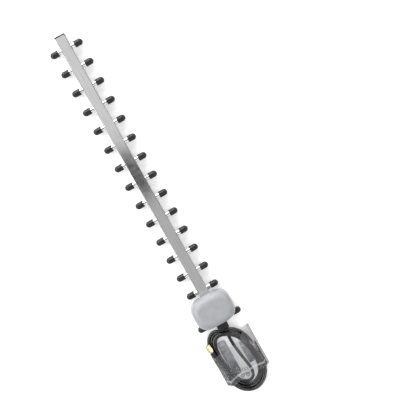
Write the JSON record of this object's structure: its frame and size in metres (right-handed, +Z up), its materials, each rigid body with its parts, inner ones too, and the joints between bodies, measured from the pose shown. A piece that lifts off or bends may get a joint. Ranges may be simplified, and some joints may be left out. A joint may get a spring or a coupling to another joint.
{
  "type": "yagi antenna",
  "caption": "Square-boom 2.4 GHz yagi antenna with rubber-capped elements, grey feed box, coiled coax lead with gold connector and a sleeved bracket kit.",
  "frame": {"origin": "middle of the boom's length, on its flat back face", "axes": "+Y along the boom to its tip, +X along the elements, +Z up through the feed box; the antenna lies flat on its back face"},
  "size_m": [0.0774, 0.6138, 0.0356],
  "materials": {
    "boom_aluminium": "satin anodised extrusion",
    "rod_aluminium": "bright drawn tube",
    "cap_rubber": "soft moulded rubber",
    "black_plastic": "moulded, fine matt",
    "grey_abs": "moulded ABS, satin",
    "gasket_rubber": "die-cut foam rubber",
    "zinc_steel": "zinc plated",
    "zinc_plate": "zinc plated sheet",
    "brass_strip": "stamped strip",
    "circuit_board": "glass epoxy board",
    "cable_sheath": "PVC jacket, semi-gloss",
    "inner_sheath": "FEP jacket",
    "heat_shrink": "heat-shrink tube",
    "ptfe": "machined PTFE",
    "gold_plate": "gold-plated brass, turned",
    "clear_film": "clear polythene film"
  },
  "bodies": {
    "root": {"boom": "boom_aluminium", "boom_tip_cap": "black_plastic", "director_01": "rod_aluminium", "director_caps_01": "cap_rubber", "director_02": "rod_aluminium", "director_caps_02": "cap_rubber", "director_03": "rod_aluminium", "director_caps_03": "cap_rubber", "director_04": "rod_aluminium", "director_caps_04": "cap_rubber", "director_05": "rod_aluminium", "director_caps_05": "cap_rubber", "director_06": "rod_aluminium", "director_caps_06": "cap_rubber", "director_07": "rod_aluminium", "director_caps_07": "cap_rubber", "director_08": "rod_aluminium", "director_caps_08": "cap_rubber", "director_09": "rod_aluminium", "director_caps_09": "cap_rubber", "director_10": "rod_aluminium", "director_caps_10": "cap_rubber", "director_11": "rod_aluminium", "director_caps_11": "cap_rubber", "director_12": "rod_aluminium", "director_caps_12": "cap_rubber", "director_13": "rod_aluminium", "director_caps_13": "cap_rubber", "director_14": "rod_aluminium", "director_caps_14": "cap_rubber", "reflector": "rod_aluminium", "reflector_caps": "cap_rubber", "feed_base": "grey_abs", "feed_cover": "grey_abs", "feed_gasket": "gasket_rubber", "base_screws": "zinc_steel", "cover_screws": "zinc_steel", "feed_dipole": "brass_strip", "feed_board": "circuit_board", "board_pins": "zinc_steel", "end_plug": "black_plastic", "cable_grommet": "cap_rubber", "cable_splice": "cable_sheath", "inner_coax": "inner_sheath", "cable_lead": "cable_sheath", "cable_coil": "cable_sheath", "cable_tail": "cable_sheath", "connector_body": "gold_plate", "connector_boot": "heat_shrink", "retaining_ring": "gold_plate", "connector_insulator": "ptfe", "connector_contact": "gold_plate", "mounting_bracket": "zinc_plate", "clamp_plate": "zinc_plate", "kit_bolts": "zinc_steel", "kit_nuts": "zinc_steel", "kit_washers": "zinc_steel", "kit_spring_washers": "zinc_steel", "kit_sleeve": "clear_film"},
    "coupling_nut": {"coupling_nut": "gold_plate"}
  },
  "joints": [
    {"name": "coupling_nut_spin", "type": "hinge", "parent": "root", "child": "coupling_nut", "pos_m": [-0.03574, -0.26738, 0.01], "axis": [-0.1392, 0.9903, 0], "continuous": true}
  ]
}
